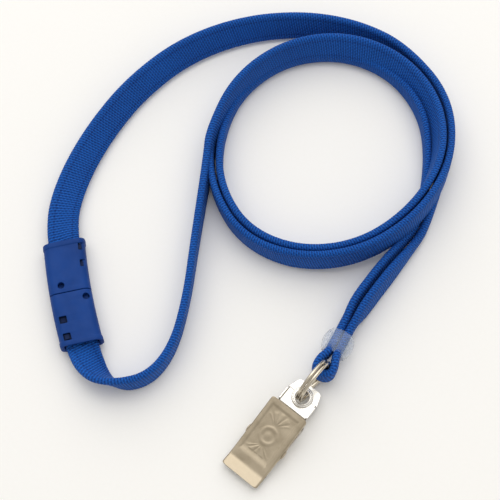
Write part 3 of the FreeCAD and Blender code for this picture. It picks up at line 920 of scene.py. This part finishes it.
def bead_material():
    """Clear moulded plastic with a slight swirl, milkier and greyer on its steep sides as a painted rim
    of light bent and reflected at its edges.
    """
    n = Nodes("bead plastic")
    place = n.add("TexCoord").outputs["Object"]
    swirl = n.noise(place, 330.0, 4.0, 0.6)
    ripple = n.noise(place, 700.0, 2.0)
    # Painted rim: the bead is greyer and more opaque where its surface is steep, for light bent and
    # reflected at its edges.
    facing = n.add("SeparateXYZ", {0: n.add("NewGeometry").outputs["Normal"]}).outputs[2]
    painted_rim = n.math("POWER", n.math("SUBTRACT", 1.0, n.math("ABSOLUTE", facing)), 2.2)
    cloud = n.math("ADD", n.math("MULTIPLY", swirl, 0.08), n.math("MULTIPLY", painted_rim, 0.42))
    n.link(n.mix(painted_rim, BEAD_FACE, BEAD_PAINTED_RIM), "Base Color")
    n.link(n.math("ADD", cloud, 0.09), "Alpha")
    n.link(n.ramp(ripple, -0.3, 4.0), "Roughness")
    n.link(n.bump(ripple, 0.00002, 0.4), "Normal")
    n.set(Specular_IOR_Level=0.7, Coat_Weight=0.4, Coat_Roughness=0.08)
    return n.material


def nickel_material(name, dark, bright, grain_turn, grain_depth, low_rough, high_rough):
    """Nickel plate with brushed grain across the part, smudges and small pits."""
    n = Nodes(name)
    place = n.add("TexCoord").outputs["Object"]
    turned = n.add("Mapping", {0: place, "Rotation": (0, 0, grain_turn), "Scale": (1, 30, 1)})
    grain = n.noise(turned.outputs[0], 500.0, 3.0)
    smudge = n.noise(place, 220.0, 4.0, 0.6)
    pits = n.noise(place, 4200.0, 1.0)
    n.link(n.mix(n.ramp(smudge, 0.3, 0.7), (*dark, 1), (*bright, 1)), "Base Color")
    rough = n.add("MapRange", {0: smudge, 1: 0.3, 2: 0.7, 3: low_rough, 4: high_rough}).outputs[0]
    n.link(rough, "Roughness")
    height = n.math("ADD", grain, n.math("MULTIPLY", pits, 0.4))
    n.link(n.bump(height, grain_depth, 0.6), "Normal")
    n.set(Metallic=1.0)
    return n.material


def make_camera():
    """Camera at the viewing angle, framing the lanyard."""
    azimuth = math.radians(VIEW_AZIMUTH)
    elevation = math.radians(VIEW_ELEVATION)
    ahead = Vector((-math.sin(azimuth), math.cos(azimuth), 0)) * math.cos(elevation)
    ahead.z = -math.sin(elevation)
    data = bpy.data.cameras.new("camera")
    data.sensor_width = SENSOR
    data.lens = SENSOR * VIEW_DISTANCE / MM_ACROSS_VIEW
    data.clip_start = CLIP_NEAR_M
    data.clip_end = CLIP_FAR_M
    camera = bpy.data.objects.new("camera", data)
    camera.location = (Vector(VIEW_TARGET) - ahead * VIEW_DISTANCE) * MM
    camera.rotation_euler = ahead.to_track_quat("-Z", "Y").to_euler()
    bpy.context.scene.collection.objects.link(camera)
    bpy.context.scene.camera = camera


def area_light(name, azimuth, elevation, distance, size, power):
    """Soft square light aimed at the middle of the lanyard."""
    data = bpy.data.lights.new(name, "AREA")
    data.size = size
    data.energy = power
    light = bpy.data.objects.new(name, data)
    a, e = math.radians(azimuth), math.radians(elevation)
    away = Vector((math.sin(a) * math.cos(e), -math.cos(a) * math.cos(e), math.sin(e)))
    light.location = Vector(VIEW_TARGET) * MM + away * distance
    light.rotation_euler = (-away).to_track_quat("-Z", "Y").to_euler()
    bpy.context.scene.collection.objects.link(light)


def floor_sheet():
    """Square of the floor round the middle of the view, as a grid."""
    lines = np.linspace(-FLOOR_SIZE / 2, FLOOR_SIZE / 2, FLOOR_CELLS + 1)
    vertices = [(VIEW_TARGET[0] + x, VIEW_TARGET[1] + y, 0.0) for x in lines for y in lines]
    faces = []
    for row in range(FLOOR_CELLS):
        for col in range(FLOOR_CELLS):
            first = row * len(lines) + col
            after = first + len(lines)
            faces.append((first, after, after + 1, first + 1))
    return vertices, faces


def make_studio():
    """Pale floor, soft surroundings, and lights from above and behind."""
    n = Nodes("floor paper")
    place = n.add("TexCoord").outputs["Object"]
    grain = n.noise(place, 900.0, 3.0)
    n.link(n.mix(grain, PAPER_DARK, PAPER_BRIGHT), "Base Color")
    n.set(Roughness=0.9, Specular_IOR_Level=0.1)
    build("floor", [floor_sheet()], n.material)
    world = bpy.data.worlds.new("studio")
    world.use_nodes = True
    background = world.node_tree.nodes["Background"]
    background.inputs[0].default_value = WORLD_COLOUR
    background.inputs[1].default_value = WORLD_STRENGTH
    bpy.context.scene.world = world
    for name, turn, *rest in LIGHTS:
        area_light(name, VIEW_AZIMUTH + turn, *rest)
    bpy.context.scene.view_settings.view_transform = "Standard"


def strap_tip(lower, material):
    """End of the strap in the pocket of a clasp half, under the grip."""
    points = np.array([(0, y, STRAP_IN_CLASP_Z) for y in np.linspace(CLASP_LENGTH + 0.1, 7.0, 6)])
    places = clasp_place((points, []), lower)[0]
    strand = read_strand([(*place, STRAP_IN_CLASP_LEAN, STRAP_WIDTH) for place in places])
    return strap_piece("strap_tip", strand, 0, len(strand[0]) - 1, material)[0]


def declare_strap(piece, path, *nodes):
    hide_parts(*nodes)
    thin = path[::PATH_STEP]
    if len(path) % PATH_STEP != 1:
        thin = np.concatenate([thin, path[-1:]])


def place_piece(piece, body, node):
    """Let a piece move with a body, and show it instead of a CAD node."""
    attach(piece, body)
    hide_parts(node)


make_camera()
make_studio()

STRAP = strap_material()
CLASP = clasp_material("clasp plastic", CLASP_DARK, CLASP_BRIGHT)
# Painted shade: the grips are coloured dark so the clasp's windows look shaded.
GRIP_SHADE_PLASTIC = clasp_material("grip plastic in painted shade", GRIP_SHADE_DARK, GRIP_SHADE_BRIGHT)
BEAD = bead_material()
RING_STEEL = nickel_material(
    "ring nickel", (0.50, 0.44, 0.35), (0.72, 0.66, 0.55),
    grain_turn=0.3, grain_depth=0.00001, low_rough=0.12, high_rough=0.26,
)
BACK_STEEL = nickel_material(
    "back nickel", (0.66, 0.63, 0.58), (0.78, 0.76, 0.72),
    grain_turn=1.57, grain_depth=0.00001, low_rough=0.22, high_rough=0.34,
)
# Painted reflection: the lever's and pin's nickel is coloured brown and darker than the back plate's,
# for the brownish surroundings it reflects.
CLIP_NICKEL_BROWN_REFLECTION = nickel_material(
    "clip nickel with painted brown reflection", (0.43, 0.36, 0.26), (0.56, 0.48, 0.36),
    grain_turn=1.57, grain_depth=0.00002, low_rough=0.36, high_rough=0.50,
)
SPRING_STEEL = nickel_material(
    "spring steel", (0.30, 0.29, 0.28), (0.45, 0.44, 0.42),
    grain_turn=0.0, grain_depth=0.00002, low_rough=0.3, high_rough=0.5,
)

right = read_strand(
    RIGHT_START
    + strand_round_coil(RIGHT_FIRST_ANGLE, RIGHT_TURNS)
    + leg_rows(1)
    + bead_rows(1)
    + bight_rows()
)
left = read_strand(
    LEFT_START
    + strand_round_coil(LEFT_FIRST_ANGLE, LEFT_TURNS)
    + leg_rows(-1)
    + bead_rows(-1)
)

split_at = int(SPLIT_PLACE / STEP_ALONG)
upper, upper_path = strap_piece("strap_upper", right, 0, split_at, STRAP)
main_right, right_path = strap_piece("strap_right", right, split_at, len(right[0]) - 1, STRAP)
main_left, left_path = strap_piece("strap_left", left, 0, len(left[0]) - 1, STRAP)

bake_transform(upper)
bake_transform(main_right)
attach(main_left, "lanyard")
declare_strap(upper, upper_path, "strap_upper_run")
declare_strap(main_right, right_path, "strap_coil", "strap_leg_right", "strap_neck", "strap_bight")
declare_strap(main_left, left_path, "strap_lower_run", "strap_leg_left")

for lower, word, body in ((False, "upper", "clasp_upper"), (True, "lower", "lanyard")):
    place_piece(clasp_half(lower, CLASP), body, "clasp_half_" + word)
    place_piece(strap_grip(lower, GRIP_SHADE_PLASTIC), body, "strap_grip_" + word)
    place_piece(strap_tip(lower, STRAP), body, "strap_end_" + word)
place_piece(bead_piece(BEAD), "bead", "bead")
place_piece(split_ring_piece(RING_STEEL), "ring", "split_ring")
place_piece(clip_back_piece(BACK_STEEL), "clip", "clip_back")
place_piece(clip_pin_piece(CLIP_NICKEL_BROWN_REFLECTION), "clip", "clip_pin")
place_piece(clip_lever_piece(CLIP_NICKEL_BROWN_REFLECTION), "lever", "clip_lever")

spring = clip_spring_piece(SPRING_STEEL)
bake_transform(spring)
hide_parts("clip_spring")
